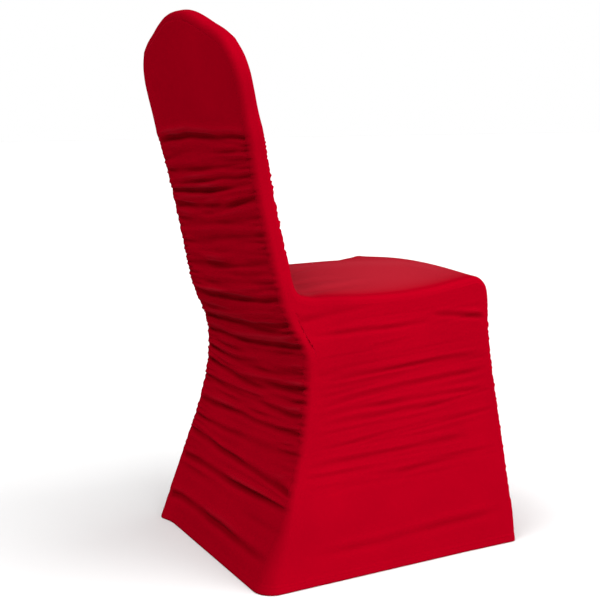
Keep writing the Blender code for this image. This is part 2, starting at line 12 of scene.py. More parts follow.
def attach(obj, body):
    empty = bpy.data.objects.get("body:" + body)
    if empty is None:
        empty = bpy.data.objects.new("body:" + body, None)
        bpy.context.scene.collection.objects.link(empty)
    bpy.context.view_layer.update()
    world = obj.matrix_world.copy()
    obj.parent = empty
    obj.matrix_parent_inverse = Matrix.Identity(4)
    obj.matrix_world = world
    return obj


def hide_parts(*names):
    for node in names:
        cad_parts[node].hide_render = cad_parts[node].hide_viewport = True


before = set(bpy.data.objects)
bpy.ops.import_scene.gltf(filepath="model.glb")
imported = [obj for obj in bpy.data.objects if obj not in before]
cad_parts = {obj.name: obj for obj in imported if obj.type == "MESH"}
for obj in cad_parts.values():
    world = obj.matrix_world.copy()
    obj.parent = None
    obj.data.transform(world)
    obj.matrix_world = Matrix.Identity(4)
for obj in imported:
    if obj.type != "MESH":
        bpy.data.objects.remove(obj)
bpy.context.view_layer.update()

# Driving dimensions, in metres
HEM_Z = 0.001
CLOTH = 0.0015
SEAM_GAP = 0.00006
CROWN_GAP = 0.00006
SHOULDER_X = 0.163
SHOULDER_Z = 0.858
SIDE_DEPTH = 0.40
EDGE_FLAT = 0.002
FRONT_RADIUS = 0.010
# The tables below count depth from a point this far in front of the frame's origin
BOX_CENTRE_Y = 0.019

# The back-rest leans back from this point of the back seam, and the way through it turns over these heights
LEAN = math.radians(12.2)
LEAN_FROM_Z = 0.457
LEAN_FROM_Y = 0.1955
LEAN_STARTS = (0.44, 0.52)
# The head's rows start to rise towards the crown at this height
ARCH_FROM = 0.70
# Below these heights the way out of the rim is straight sideways, and above them it is square to the rim
RIM_TURNS = (0.70, 0.80)

# Where a side's gusset ends at the foot of the back-rest, where its skirt starts beside the seat, where the
# seat's front corner ends on the side, and where it ends on the front panel
FOOT_Z = 0.515
FOOT_END_Z = 0.498
FOOT_CORNER_Z = 0.460
CORNER_END_Z = 0.442
# Above these heights a side is as wide as the back-rest, and below them it widens towards the front corner
SEAT_LEVEL = (0.470, 0.500)
# Lengths of cloth along the seat's edge at the foot of the back-rest and round the front corner
FOOT_LENGTH = 0.032
CORNER_LENGTH = 0.020
# The seat's line is carried on up the back-rest by this height, and its direction is read over this step
LEAD_HEIGHT = 0.02
READ_STEP = 0.001

# A panel's padded form: higher is flatter at its edges
DOME_POWER = 1.4

# The back seam below the shoulder: its half width, and how softly the corner beside it turns
BackEdge = namedtuple("BackEdge", "z half_width radius")
BACK_EDGE = (
    BackEdge(0.000, 0.194, 0.034),
    BackEdge(0.050, 0.202, 0.025),
    BackEdge(0.100, 0.209, 0.017),
    BackEdge(0.150, 0.209, 0.011),
    BackEdge(0.200, 0.203, 0.010),
    BackEdge(0.250, 0.198, 0.010),
    BackEdge(0.300, 0.194, 0.010),
    BackEdge(0.350, 0.194, 0.010),
    BackEdge(0.375, 0.195, 0.010),
    BackEdge(0.400, 0.193, 0.010),
    BackEdge(0.425, 0.187, 0.010),
    BackEdge(LEAN_FROM_Z, 0.184, 0.010),
    BackEdge(0.500, 0.181, 0.010),
    BackEdge(0.550, 0.178, 0.010),
    BackEdge(0.600, 0.177, 0.010),
    BackEdge(0.650, 0.178, 0.010),
    BackEdge(0.690, 0.182, 0.010),
    BackEdge(0.720, 0.187, 0.010),
    BackEdge(0.760, 0.188, 0.010),
    BackEdge(0.790, 0.190, 0.010),
    BackEdge(0.815, 0.189, 0.010),
    BackEdge(0.838, 0.180, 0.010),
    BackEdge(SHOULDER_Z, SHOULDER_X, 0.010),
)

# How deep the gusset is between the back seam and the front seam
Gusset = namedtuple("Gusset", "z depth")
GUSSET = (
    Gusset(0.450, 0.0310),
    Gusset(0.600, 0.0310),
    Gusset(0.700, 0.0315),
    Gusset(0.745, 0.0290),
    Gusset(0.860, 0.0280),
)

# The back panel seen from the side, up to where it follows the leaning back-rest
Profile = namedtuple("Profile", "z y")
BACK_PROFILE = (
    Profile(0.000, 0.253),
    Profile(0.050, 0.234),
    Profile(0.100, 0.214),
    Profile(0.150, 0.197),
    Profile(0.200, 0.181),
    Profile(0.250, 0.168),
    Profile(0.300, 0.160),
    Profile(0.350, 0.158),
    Profile(0.375, 0.161),
    Profile(0.400, 0.170),
    Profile(0.425, 0.183),
    Profile(LEAN_FROM_Z, LEAN_FROM_Y),
)

# The crown of the back seam, across its peak and down to the shoulder
CrownPoint = namedtuple("CrownPoint", "x z")
CROWN = (
    CrownPoint(-0.040, 0.9035),
    CrownPoint(0.000, 0.9072),
    CrownPoint(0.040, 0.9035),
    CrownPoint(0.074, 0.894),
    CrownPoint(0.106, 0.882),
    CrownPoint(0.140, 0.8695),
    CrownPoint(SHOULDER_X, SHOULDER_Z),
)

# The front panel's edge seen from the side: from the foot of the back-rest over the seat
SEAT_LINE = (
    Profile(0.4930, 0.1722),
    Profile(0.4815, 0.1680),
    Profile(0.4738, 0.1610),
    Profile(0.4703, 0.1490),
    Profile(0.4675, 0.1000),
    Profile(0.4640, 0.0400),
    Profile(0.4645, -0.0400),
    Profile(0.4700, -0.1100),
    Profile(0.4755, -0.1500),
    Profile(0.4775, -0.1750),
    Profile(0.4640, -0.1905),
)

# The front panel's edge seen from the side: from the seat's front corner to the hem
SKIRT_LINE = (
    Profile(CORNER_END_Z, -0.1965),
    Profile(0.415, -0.1975),
    Profile(0.385, -0.1990),
    Profile(0.345, -0.2035),
    Profile(0.305, -0.2095),
    Profile(0.260, -0.2170),
    Profile(0.210, -0.2255),
    Profile(0.160, -0.2340),
    Profile(0.110, -0.2420),
    Profile(0.055, -0.2520),
    Profile(0.000, -0.2570),
)

# The side's outermost half width at the front corner
FrontCorner = namedtuple("FrontCorner", "z half_width")
FRONT_CORNER = (FrontCorner(0.0, 0.2195), FrontCorner(0.25, 0.211), FrontCorner(0.47, 0.2045))

# How far the middle of a panel stands out past its edges: by height, or by depth on the seat
Bulge = namedtuple("Bulge", "at out")
BACK_BULGE = (
    Bulge(0.00, 0.000),
    Bulge(0.30, 0.001),
    Bulge(0.45, 0.002),
    Bulge(0.70, 0.005),
    Bulge(0.80, 0.006),
    Bulge(SHOULDER_Z, 0.000),
)
INNER_BULGE = (
    Bulge(FOOT_Z, 0.014),
    Bulge(0.60, 0.012),
    Bulge(0.78, 0.011),
    Bulge(SHOULDER_Z, 0.000),
)
SEAT_BULGE = (
    Bulge(-0.195, 0.007),
    Bulge(-0.180, 0.008),
    Bulge(-0.120, 0.0195),
    Bulge(-0.020, 0.0285),
    Bulge(0.080, 0.0235),
    Bulge(0.140, 0.011),
    Bulge(0.177, 0.011),
)
SKIRT_BULGE = (Bulge(0.000, 0.000), Bulge(0.250, 0.002), Bulge(0.360, 0.006), Bulge(CORNER_END_Z, 0.007))

# Main folds across a panel, top to bottom: where the crease lies at +X, in the middle and at -X,
# how deep and how wide it is, and how much of it is left at either edge
Fold = namedtuple("Fold", "right middle left depth width at_right at_left")
BACK_FOLDS = (
    Fold(0.711, 0.721, 0.719, 0.0080, 0.0050, 0.7, 0.6),
    Fold(0.657, 0.668, 0.683, 0.0025, 0.0060, 1.0, 0.3),
    Fold(0.634, 0.649, 0.664, 0.0040, 0.0045, 1.0, 0.9),
    Fold(0.619, 0.634, 0.652, 0.0044, 0.0048, 1.0, 0.6),
    Fold(0.599, 0.605, 0.629, 0.0045, 0.0060, 0.5, 0.8),
    Fold(0.567, 0.580, 0.596, 0.0025, 0.0070, 0.7, 0.8),
    Fold(0.535, 0.553, 0.567, 0.0025, 0.0080, 0.4, 1.0),
    Fold(0.486, 0.502, 0.525, 0.0030, 0.0080, 0.8, 0.8),
    Fold(0.455, 0.472, 0.494, 0.0025, 0.0060, 0.3, 1.0),
    Fold(0.437, 0.446, 0.468, 0.0050, 0.0060, 1.0, 0.6),
    Fold(0.388, 0.402, 0.429, 0.0062, 0.0060, 1.0, 0.8),
    Fold(0.359, 0.366, 0.392, 0.0052, 0.0060, 0.8, 1.0),
    Fold(0.326, 0.326, 0.347, 0.0042, 0.0055, 1.0, 0.8),
    Fold(0.300, 0.298, 0.319, 0.0060, 0.0052, 1.0, 0.9),
    Fold(0.265, 0.264, 0.276, 0.0046, 0.0055, 0.5, 1.0),
    Fold(0.225, 0.231, 0.248, 0.0046, 0.0055, 0.8, 0.9),
    Fold(0.191, 0.198, 0.212, 0.0028, 0.0060, 1.0, 0.5),
    Fold(0.164, 0.160, 0.153, 0.0056, 0.0058, 0.8, 0.9),
    Fold(0.115, 0.122, 0.133, 0.0046, 0.0060, 0.9, 0.35),
    Fold(0.046, 0.048, 0.048, 0.0055, 0.0070, 1.0, 0.4),
)
INNER_FOLDS = (
    Fold(0.718, 0.726, 0.720, 0.0055, 0.0055, 0.5, 0.7),
    Fold(0.677, 0.688, 0.693, 0.0030, 0.0060, 0.8, 0.9),
    Fold(0.654, 0.664, 0.673, 0.0048, 0.0050, 0.9, 0.7),
    Fold(0.635, 0.646, 0.652, 0.0044, 0.0050, 0.7, 1.0),
    Fold(0.612, 0.618, 0.628, 0.0036, 0.0060, 1.0, 0.6),
    Fold(0.578, 0.588, 0.595, 0.0042, 0.0060, 0.6, 0.9),
    Fold(0.552, 0.556, 0.566, 0.0034, 0.0065, 0.9, 0.8),
)
SKIRT_FOLDS = (
    Fold(0.412, 0.406, 0.410, 0.0034, 0.0060, 0.9, 0.8),
    Fold(0.389, 0.380, 0.384, 0.0048, 0.0055, 0.8, 1.0),
    Fold(0.362, 0.352, 0.359, 0.0050, 0.0055, 1.0, 0.8),
    Fold(0.336, 0.326, 0.337, 0.0042, 0.0055, 0.7, 0.9),
    Fold(0.309, 0.298, 0.310, 0.0052, 0.0055, 1.0, 0.9),
    Fold(0.278, 0.266, 0.275, 0.0040, 0.0060, 0.9, 0.6),
    Fold(0.240, 0.228, 0.238, 0.0046, 0.0060, 0.7, 1.0),
    Fold(0.196, 0.187, 0.198, 0.0030, 0.0070, 0.9, 0.8),
    Fold(0.150, 0.141, 0.152, 0.0044, 0.0060, 0.8, 0.9),
    Fold(0.106, 0.100, 0.107, 0.0030, 0.0070, 0.7, 0.6),
)

# Soft folds that run back over a side from its front seam
SideFold = namedtuple("SideFold", "back_y back_z front_y front_z depth width")
LEFT_FOLDS = (
    SideFold(0.190, 0.432, 0.000, 0.456, 0.0040, 0.008),
    SideFold(0.130, 0.405, -0.085, 0.414, 0.0018, 0.006),
    SideFold(-0.080, 0.425, -0.200, 0.409, 0.0042, 0.006),
    SideFold(0.110, 0.338, -0.175, 0.350, 0.0020, 0.006),
    SideFold(0.130, 0.296, -0.185, 0.322, 0.0026, 0.006),
    SideFold(0.060, 0.282, -0.185, 0.288, 0.0022, 0.006),
    SideFold(0.145, 0.261, -0.110, 0.274, 0.0022, 0.007),
    SideFold(0.155, 0.197, -0.150, 0.208, 0.0022, 0.007),
    SideFold(0.030, 0.160, -0.200, 0.181, 0.0014, 0.008),
    SideFold(0.150, 0.050, -0.215, 0.062, 0.0020, 0.010),
)
RIGHT_FOLDS = (
    SideFold(0.110, 0.412, -0.120, 0.420, 0.0020, 0.006),
    SideFold(0.130, 0.364, -0.175, 0.378, 0.0022, 0.006),
    SideFold(0.090, 0.330, -0.185, 0.346, 0.0024, 0.006),
    SideFold(0.140, 0.288, -0.160, 0.306, 0.0022, 0.006),
    SideFold(0.070, 0.252, -0.190, 0.266, 0.0020, 0.007),
    SideFold(0.160, 0.205, -0.180, 0.222, 0.0022, 0.007),
    SideFold(0.040, 0.148, -0.200, 0.164, 0.0016, 0.008),
    SideFold(0.160, 0.058, -0.180, 0.070, 0.0018, 0.010),
)

# Soft folds that run forwards over the seat from the back-rest's foot
SeatFold = namedtuple("SeatFold", "back_x front_x back_y front_y depth width")
SEAT_FOLDS = (
    SeatFold(-0.158, -0.120, 0.150, -0.060, 0.0014, 0.010),
    SeatFold(-0.100, -0.108, 0.155, 0.010, 0.0013, 0.011),
    SeatFold(-0.052, -0.020, 0.160, 0.020, 0.0011, 0.010),
    SeatFold(0.030, 0.048, 0.158, 0.040, 0.0011, 0.011),
    SeatFold(0.086, 0.070, 0.155, -0.010, 0.0015, 0.011),
    SeatFold(0.150, 0.122, 0.150, -0.050, 0.0013, 0.010),
)

# A fold's ridges over and below its crease, as shares of its depth and of its width
Ridge = namedtuple("Ridge", "height place width")
RIDGE_OVER = Ridge(0.55, 1.7, 0.95)
RIDGE_UNDER = Ridge(0.22, -2.1, 1.3)

# The main creases of the fine cloth: their depth as a share of the pattern's, how far they waver up and down
# in metres, and how much they waver in depth
CREASE_DEPTH = 0.85
WAVER_UP = 0.0016
WAVER_DEEP = 0.28
# The lengths of a waver's waves, in metres, and what brings their sum to about 1
WAVER_LENGTHS = (0.31, 0.17, 0.085)
WAVER_SUM = 0.4
# Each kind of waver counts its seeds from its own start, so that no two folds of a panel waver alike
DEPTH_SEED = 100
SEAT_SEED = 600
SIDE_SEED = 700
SIDE_DEPTH_SEED = 800
# A crease is nothing past this many of its widths
CREASE_REACH = 4
# A panel's lines are level again this far past its first and last fold, and stay this far from its ends
FOLD_REACH = 0.035
LEVEL_GAP = 0.001

# How a fold's depth changes towards the edge: higher is later
EDGE_POWER = 1.5
# Between these shares of the half width, folds and small creases go down to their shares at the seam
EDGE_FADE = (0.955, 0.995)
FOLD_SEAM_SHARE = 0.35
SEAM_SHARE = 0.8

# A gather's next neighbour lies this many spacings away, and its slant spreads by this much
GATHER_STEPS = (0.6, 1.4)
GATHER_SPREAD = 0.05

# The grid of points on the cloth: its rows are further apart on the head, down to this height, and on the seat
FINE_FROM_Z = 0.75
ROW_STEP = 0.0023
HEAD_ROW_STEP = 0.004
FOOT_ROW_STEP = 0.00345
SEAT_ROW_STEP = 0.0045
# Its columns stand close together at the seams, here on a panel of this half width
COLUMN_STEP = 0.0055
EDGE_STEPS = (0.0, 0.0008, 0.0018, 0.0030, 0.0046, 0.0068, 0.0096, 0.0130, 0.0170)
HALF_WIDTH = 0.19
# A side's edges: points along the rim, out from the seam, round the turn and over the gusset's flat
RIM_STEP = 0.003
RIM_SMOOTHING = 6
STRIP_STEPS = (0.0, 0.0006, 0.0013)
TURN_STEPS = 6
FLAT_STEPS = 4
# Points nearer than this are one
WELD = 0.00001

# Along a seam the cloth is drawn in
SEAM_DIP = 0.0001
SEAM_DIP_WIDTH = 0.0022
# The bumps of a panel's edge, read at this step in height, run on into the side for about this width
SEAM_ROW_STEP = 0.0005
RIPPLE_WIDTH = 0.009

# The hem is turned up this far above the edge, and its extra thickness ends over this much to either side
HEM_HEIGHT = 0.014
HEM_TURN = 0.001
HEM_THICK = 0.0007
# Its stitches: how deep they sink, how wide, and how far below its top
HEM_STITCH = 0.0005
HEM_STITCH_WIDTH = 0.0016
HEM_STITCH_DROP = 0.003
# Rows along the stitches, counted from the hem's top, and the span where they take the place of plain rows
HEM_ROWS = (0.003, 0.001, -0.0005, -0.002, -0.0032, -0.0045, -0.006)
HEM_SPAN = (-0.007, 0.004)

# The far hem corner is kicked back: how far, up to which height, over which width, and how fast it grows
CORNER_TIP = 0.009
CORNER_TIP_Z = 0.160
CORNER_TIP_WIDTH = 0.020
CORNER_TIP_POWER = 1.5

# A side's soft folds: how they waver, and their depth and width as shares of the pattern's
SIDE_WAVER = 0.0012
SIDE_CREASE_DEPTH = 0.75
SIDE_CREASE_WIDTH = 0.7
# Where soft folds fade in and out, as shares of their length
SIDE_FOLD_STARTS = (-0.08, 0.25)
SIDE_FOLD_ENDS = (0.85, 1.05)
SEAT_FOLD_STARTS = (-0.05, 0.12)
SEAT_FOLD_ENDS = (0.35, 1.0)
# Where all of a side's folds fade at its edges, as shares of the way from back to front and from top to hem
SIDE_BACK_FADE = (0.0, 0.06)
SIDE_FRONT_FADE = (0.95, 1.0)
SIDE_TOP_FADE = (0.0, 0.08)

# How much lower the seat's front edge lies towards +X, in metres a metre, and from where it starts to
SEAT_TILT = 0.0175
TILT_FROM_Y = (-0.02, -0.15)
TILT_FROM_Z = (0.37, 0.46)

# The camera that took the photograph: its place, the way it turns and rises, and its lens in millimetres
CAMERA_PLACE = (-1.7668, 0.9595, 0.7563)
CAMERA_TURN = math.radians(242.63)
CAMERA_RISE = math.radians(9.28)
CAMERA_ROLL = math.radians(-0.32)
CAMERA_LENS = 68.34
CAMERA_SENSOR = 36.0

# The light: how bright the surround is from the horizon to overhead, and how high it starts and ends to dim
SURROUND_LOW = 1.0
SURROUND_HIGH = 0.18
SURROUND_DIMS = (0.10, 0.40)
# Each light's name, the way it comes from, how wide it looks, and its strength in watts a square metre
LIGHTS = (
    ("side_light", (-0.80, -0.46, 0.40), math.radians(70), 5.1),
    ("back_light", (-0.08, 0.45, 0.89), math.radians(30), 2.9),
    ("top_light", (-0.15, -0.45, 0.88), math.radians(40), 1.3),
)
LIGHT_DISTANCE = 4.0
FLOOR_SIZE = 60.0
PAPER_COLOUR = "#c8c8c8"
PAPER_ROUGHNESS = 0.9
SURROUND_COLOUR = "#ffffff"

# The knit's spacings: its real ribs stand 0.5 mm apart and are drawn at 0.9 mm, or none would show
RIB_SPACING = 0.0009
LOOP_SPACING = 0.0011
# How its threads waver, how far and how strongly they are raised, and the fuzz over them
THREAD_WAVER = 0.6
LOOP_RELIEF = 0.00012
LOOP_STRENGTH = 0.35
FUZZ_SIZE = 0.0035
FUZZ_DETAIL = 3.0
KNIT_ROUGHNESS = 0.75
# A wave texture's scale for bands that are one metre apart
WAVE_SCALE = 2 * math.pi / 20

# The dye is a little uneven, in patches of this size, from deep to plain over this span of their pattern
DYE_PATCH = 0.12
DYE_DETAIL = 4.0
DYE_SPREAD = (0.3, 0.7)
DYE_PLAIN = "#860011"
DYE_DEEP = "#800010"
# Shade is painted into the red in a fold's crease, by how far the folds stand out there, which each point
# keeps under this name
FOLD_LAYER = "folded"
# Painted shade: the dark red of a crease, and the fold heights over which it comes in
CREASE_SHADE_COLOUR = "#6a000a"
CREASE_SHADE_SPAN = (0.0003, -0.0045)
# A sheen is painted in as a paler, pinker red on the folds' ridges and over the seat, by the same measure with
# the seat's painted sheen added to it
PAINTED_SHEEN_COLOUR = "#841722"
PAINTED_SHEEN_SPAN = (0.0015, 0.0100)
SEAT_PAINTED_SHEEN = 0.0095
SEAT_FOLD_SHARE = 0.3
# The seat's painted sheen starts to fade this far before the front corner, and towards its sides: higher is
# later
SEAT_SHEEN_FADE = 0.02
SEAT_SHEEN_POWER = 8

# Fibre ends bloom where the cloth is seen at a low angle, between these shares of the way to edge on
BLOOM = 0.02
BLOOM_COLOUR = "#ff9aa6"
BLOOM_ROUGHNESS = 0.6
BLOOM_STARTS = (0.76, 0.83)
BLOOM_ENDS = (0.86, 0.93)

# Small creases scattered over a stretch: how many, how far out from the middle and between which heights,
# their least and greatest length, depth and width, how they slant, and how much that spreads
Scatter = namedtuple("Scatter", "seed count half_width low high length depth width slant spread")
# Gathers that start in a seam, at side 1 or -1, and run into the cloth
Gather = namedtuple("Gather", "seed side spacing low high reach depth width tilt")

# The small creases between the main folds of each stretch, and the fine gathers along its seams
BACK_SMALL = (
    Gather(1, 1, 0.0085, 0.135, 0.495, (0.035, 0.110), (0.0012, 0.0036), (0.0024, 0.0042), 0.05),
    Gather(2, -1, 0.0085, 0.175, 0.495, (0.035, 0.110), (0.0012, 0.0040), (0.0024, 0.0042), -0.05),
    Gather(3, 1, 0.0110, 0.520, 0.715, (0.030, 0.090), (0.0010, 0.0028), (0.0024, 0.0040), 0.03),
    Gather(4, -1, 0.0110, 0.520, 0.715, (0.030, 0.090), (0.0008, 0.0026), (0.0024, 0.0040), -0.03),
    Scatter(5, 78, 0.18, 0.235, 0.46, (0.12, 0.36), (0.0008, 0.0026), (0.0032, 0.0058), 0.0, 0.03),
    Scatter(18, 18, 0.15, 0.085, 0.235, (0.20, 0.40), (0.0004, 0.0012), (0.0040, 0.0070), 0.0, 0.012),
    Scatter(15, 45, 0.18, 0.46, 0.60, (0.14, 0.36), (0.0005, 0.0015), (0.0034, 0.0060), 0.0, 0.03),
    Scatter(16, 36, 0.18, 0.60, 0.71, (0.12, 0.36), (0.0008, 0.0026), (0.0030, 0.0052), 0.0, 0.03),
    Gather(21, 1, 0.0072, 0.260, 0.722, (0.010, 0.026), (0.0012, 0.0026), (0.0017, 0.0024), 0.0),
    Gather(22, -1, 0.0072, 0.260, 0.722, (0.010, 0.026), (0.0006, 0.0014), (0.0017, 0.0024), 0.0),
)
INNER_SMALL = (
    Gather(6, 1, 0.0095, 0.540, 0.720, (0.035, 0.090), (0.0010, 0.0028), (0.0024, 0.0042), 0.03),
    Gather(7, -1, 0.0095, 0.540, 0.720, (0.035, 0.090), (0.0010, 0.0028), (0.0024, 0.0042), -0.03),
    Scatter(8, 60, 0.18, 0.535, 0.715, (0.12, 0.34), (0.0008, 0.0026), (0.0032, 0.0058), 0.0, 0.03),
    Gather(23, 1, 0.0072, 0.530, 0.722, (0.010, 0.026), (0.0012, 0.0026), (0.0017, 0.0024), 0.0),
    Gather(24, -1, 0.0072, 0.530, 0.722, (0.010, 0.026), (0.0012, 0.0026), (0.0017, 0.0024), 0.0),
)
SKIRT_SMALL = (
    Gather(9, 1, 0.0090, 0.080, 0.425, (0.035, 0.090), (0.0010, 0.0030), (0.0024, 0.0042), 0.03),
    Gather(10, -1, 0.0090, 0.080, 0.425, (0.035, 0.090), (0.0010, 0.0030), (0.0024, 0.0042), -0.03),
    Scatter(11, 100, 0.18, 0.080, 0.425, (0.12, 0.34), (0.0008, 0.0026), (0.0032, 0.0058), 0.0, 0.03),
    Gather(25, 1, 0.0072, 0.230, 0.425, (0.010, 0.026), (0.0012, 0.0026), (0.0017, 0.0024), 0.0),
    Gather(26, -1, 0.0072, 0.230, 0.425, (0.010, 0.026), (0.0012, 0.0026), (0.0017, 0.0024), 0.0),
)
RIGHT_SMALL = (
    Scatter(13, 120, 0.17, 0.150, 0.440, (0.08, 0.28), (0.0003, 0.0009), (0.0022, 0.0042), -0.06, 0.03),
)
LEFT_SMALL = (
    Scatter(14, 58, 0.17, 0.225, 0.375, (0.10, 0.34), (0.0003, 0.0010), (0.0024, 0.0044), -0.09, 0.02),
    Scatter(19, 14, 0.17, 0.375, 0.440, (0.10, 0.30), (0.0003, 0.0007), (0.0024, 0.0044), -0.07, 0.03),
    Scatter(17, 40, 0.17, 0.150, 0.225, (0.10, 0.30), (0.0002, 0.0006), (0.0024, 0.0044), -0.02, 0.02),
)


class Curve:
    """A smooth line through a table's points, read by the value in one of its columns."""

    def __init__(self, at, value):
        order = np.argsort(at)
        self.at = np.array(at, float)[order]
        self.value = np.array(value, float)[order]
        step = np.diff(self.at)
        slope = np.diff(self.value) / step
        middle = (slope[:-1] * step[1:] + slope[1:] * step[:-1]) / (step[:-1] + step[1:])
        self.tangent = np.concatenate([slope[:1], middle, slope[-1:]])

    def __call__(self, where):
        where = np.clip(where, self.at[0], self.at[-1])
        i = np.clip(np.searchsorted(self.at, where) - 1, 0, len(self.at) - 2)
        span = self.at[i + 1] - self.at[i]
        rise = self.value[i + 1] - self.value[i]
        t = (where - self.at[i]) / span
        start = self.tangent[i] * span - rise
        end = rise - self.tangent[i + 1] * span
        return self.value[i] + t * rise + t * (1 - t) * ((1 - t) * start + t * end)


def curve(table, by, value):
    """A smooth line through two columns of a table."""
    return Curve([getattr(row, by) for row in table], [getattr(row, value) for row in table])


def ease(low, high, value):
    """0 at low, 1 at high, and a smooth step between."""
    share = np.clip((value - low) / (high - low), 0.0, 1.0)
    return share * share * (3 - 2 * share)


back_half_width = curve(BACK_EDGE, "z", "half_width")
corner_radius = curve(BACK_EDGE, "z", "radius")
lower_back_y = curve(BACK_PROFILE, "z", "y")
crown_z = curve(CROWN, "x", "z")
skirt_y = curve(SKIRT_LINE, "z", "y")
gusset_depth = curve(GUSSET, "z", "depth")
front_corner = curve(FRONT_CORNER, "z", "half_width")
back_bulge = curve(BACK_BULGE, "at", "out")
inner_bulge = curve(INNER_BULGE, "at", "out")
seat_bulge = curve(SEAT_BULGE, "at", "out")
skirt_bulge = curve(SKIRT_BULGE, "at", "out")


def back_y(z):
    """The back seam's place in depth."""
    return np.where(z >= LEAN_FROM_Z, LEAN_FROM_Y + math.tan(LEAN) * (z - LEAN_FROM_Z), lower_back_y(z))


def forward(z):
    """The direction in Y and Z straight through the cover from its back to its front."""
    angle = LEAN * ease(*LEAN_STARTS, z)
    return np.array([-np.cos(angle), np.sin(angle)])


def back_point(z):
    """The back seam's point at a height, in Y and Z."""
    return np.array([back_y(z), z])


def inner_point(z):
    """The front seam's point on the back-rest opposite the back seam's, in Y and Z."""
    return back_point(z) + gusset_depth(z) * forward(z)


def side_half_width(y, z):
    """The side's outermost half width, from the back corner to the front corner."""
    back = back_half_width(z) + EDGE_FLAT + corner_radius(z)
    share = np.clip((back_y(z) - y) / SIDE_DEPTH, 0.0, 1.0) * (1.0 - ease(*SEAT_LEVEL, z))
    return back + share * (front_corner(z) - back)


def front_seam_x(y, z):
    """How far from the middle the front panel's seam lies on the seat and the skirt."""
    return side_half_width(y, z) - FRONT_RADIUS - EDGE_FLAT


# The line from the foot of the back-rest over the seat, by its length of cloth
LEAD_IN = [tuple(inner_point(FOOT_Z + LEAD_HEIGHT)), tuple(inner_point(FOOT_Z))]
LEAD_OUT = [(point.y, point.z) for point in SKIRT_LINE[:3]]
SEAT_PATH = LEAD_IN + [(point.y, point.z) for point in SEAT_LINE] + LEAD_OUT
SEAT_STEPS = np.linalg.norm(np.diff(np.array(SEAT_PATH), axis=0), axis=1)
SEAT_RUN = np.concatenate([[0.0], np.cumsum(SEAT_STEPS)])
seat_path_y = Curve(SEAT_RUN, [point[0] for point in SEAT_PATH])
seat_path_z = Curve(SEAT_RUN, [point[1] for point in SEAT_PATH])
FOOT_RUN = SEAT_RUN[1]
JOIN_RUN = FOOT_RUN + FOOT_LENGTH
CORNER_END_RUN = SEAT_RUN[-3]
CORNER_RUN = CORNER_END_RUN - CORNER_LENGTH


def seat_point(run):
    """The seat's edge after a length of cloth, in Y and Z."""
    return np.array([seat_path_y(run), seat_path_z(run)])


def seat_normal(run):
    """The way out of the cover at a point of the seat's line, in Y and Z."""
    ahead = seat_point(run + READ_STEP) - seat_point(run - READ_STEP)
    normal = np.array([ahead[1], -ahead[0]])
    return normal / np.linalg.norm(normal, axis=0)


def crease(distance, width):
    """A trough with a full ridge over it and a softer one below, as a share of its depth."""
    t = distance / width
    out = -np.exp(-t * t)
    for ridge in (RIDGE_OVER, RIDGE_UNDER):
        out += ridge.height * np.exp(-(((t - ridge.place) / ridge.width) ** 2))
    return out


def waver(seed, x):
    """A slow, uneven wander along a fold, from about -1 to 1."""
    draw = np.random.default_rng(seed)
    total = 0.0
    for length in WAVER_LENGTHS:
        total = total + length * np.sin(x * 2 * math.pi / length + draw.uniform(0, 2 * math.pi))
    return total / WAVER_SUM


def strays(scatter):
    """Small creases scattered over a stretch of cloth: where each lies, and its size."""
    draw = np.random.default_rng(scatter.seed)
    made = []
    for _ in range(scatter.count):
        x = draw.uniform(-scatter.half_width, scatter.half_width)
        row = draw.uniform(scatter.low, scatter.high)
        sizes = (scatter.length, scatter.depth, scatter.width)
        length, depth, width = [draw.uniform(*pair) for pair in sizes]
        made.append((x, row, length / 2, depth, width, draw.normal(scatter.slant, scatter.spread)))
    return made


def gathers(gather):
    """Creases that start in the seam at one side and fade into the cloth."""
    draw = np.random.default_rng(gather.seed)
    made = []
    row = gather.low
    while row < gather.high:
        sizes = (gather.reach, gather.depth, gather.width)
        reach, depth, width = [draw.uniform(*pair) for pair in sizes]
        tilt = draw.normal(gather.tilt, GATHER_SPREAD)
        made.append((gather.side * HALF_WIDTH, row, reach, depth, width, tilt))
        row += draw.uniform(*GATHER_STEPS) * gather.spacing
    return made


def drawn(table):
    """All the small creases of a stretch, one table row after another."""
    made = []
    for row in table:
        made += gathers(row) if isinstance(row, Gather) else strays(row)
    return made


def small_creases(made, x, row):
    """How far the small creases push the cloth out, at places across and along it."""
    x, row = np.broadcast_arrays(x, row)
    total = np.zeros(x.shape)
    for x_at, row_at, reach, depth, width, tilt in made:
        along = np.abs(x - x_at) / reach
        distance = row - row_at - tilt * (x - x_at)
        near = (along < 1) & (np.abs(distance) < CREASE_REACH * width)
        total[near] += depth * (1 - along[near] ** 2) ** 2 * crease(distance[near], width)
    return total


